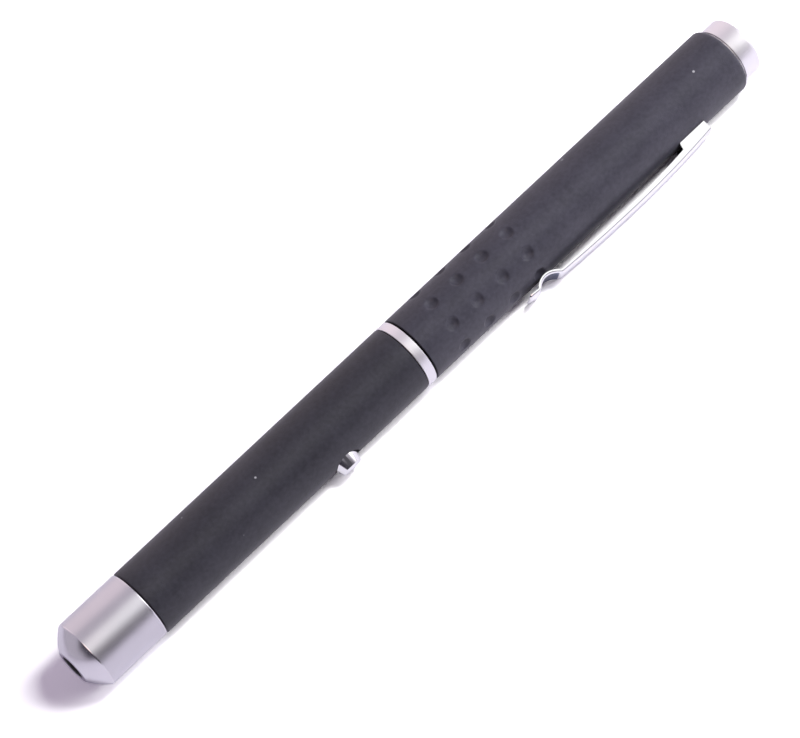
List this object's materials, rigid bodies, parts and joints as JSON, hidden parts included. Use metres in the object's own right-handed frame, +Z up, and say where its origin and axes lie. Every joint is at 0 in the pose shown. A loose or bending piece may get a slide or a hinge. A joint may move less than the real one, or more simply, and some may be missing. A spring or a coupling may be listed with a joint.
{
  "type": "laser pointer",
  "caption": "Pen-shaped laser pointer with a side push button, a screw joint for the battery compartment and a spring pocket clip.",
  "frame": {"origin": "centre of the underside of the box round the pen, which lies on its side with the clip's edge on the floor", "axes": "+X along the pen from its nose to its tail, +Z up; the button and the clip point to -Y, below the horizontal"},
  "size_m": [0.1588, 0.0152, 0.013],
  "materials": {
    "dark_coating": "matte dark grey coating on a brass tube",
    "satin_silver": "satin plated silver",
    "chrome": "bright plated",
    "brass": "turned",
    "copper": "turned copper",
    "steel": "plain",
    "lens_glass": "polished",
    "filter_glass": "polished, tinted",
    "crystal_glass": "polished, tinted",
    "board_green": "circuit board lacquer",
    "black_plastic": "moulded",
    "blue_plastic": "moulded",
    "yellow_plastic": "moulded",
    "cell_sleeve": "plain wrapped cell"
  },
  "bodies": {
    "front": {"nose_cone": "satin_silver", "lens_cell": "brass", "collimating_lens": "lens_glass", "module_housing": "brass", "ir_filter": "filter_glass", "expander_ring": "brass", "expander_lens": "lens_glass", "crystal_mount": "copper", "laser_crystal": "crystal_glass", "diode_ring": "copper", "pump_diode": "steel", "driver_board": "board_green", "driver_chip": "black_plastic", "trimmer": "blue_plastic", "capacitor_front": "yellow_plastic", "capacitor_rear": "yellow_plastic", "tact_switch": "black_plastic", "front_contact_spring": "steel", "front_barrel": "dark_coating", "thread_spigot": "brass", "trim_ring": "chrome"},
    "button": {"button_cap": "chrome", "switch_plunger": "black_plastic"},
    "cells": {"front_cell": "cell_sleeve", "rear_cell": "cell_sleeve"},
    "rear": {"rear_barrel": "dark_coating", "tail_spring": "steel", "tail_cap": "satin_silver"},
    "clip_arm": {"clip": "chrome"}
  },
  "joints": [
    {"name": "button_press", "type": "slide", "parent": "front", "child": "button", "axis": [0, 0.851, 0.5252], "range_m": [0, 0.0004], "stiffness_N_per_m": 2000, "springref_m": -0.0008},
    {"name": "barrel_backs_off", "type": "slide", "parent": "front", "child": "cells", "axis": [1, 0, 0], "range_m": [0, 0.00337]},
    {"name": "barrel_turn", "type": "hinge", "parent": "cells", "child": "rear", "pos_m": [0, 0.00105, 0.0065], "axis": [1, 0, 0], "range_deg": [0, 1620]},
    {"name": "clip_flex", "type": "hinge", "parent": "rear", "child": "clip_arm", "pos_m": [0.06385, -0.00407, 0.00334], "axis": [0, -0.5252, 0.851], "range_deg": [0, 4], "stiffness_Nm_per_rad": 2, "springref_deg": -1.15}
  ],
  "couplings": [
    {"joint": "barrel_turn", "follows": "barrel_backs_off", "rad_per_m": 8377.6}
  ]
}
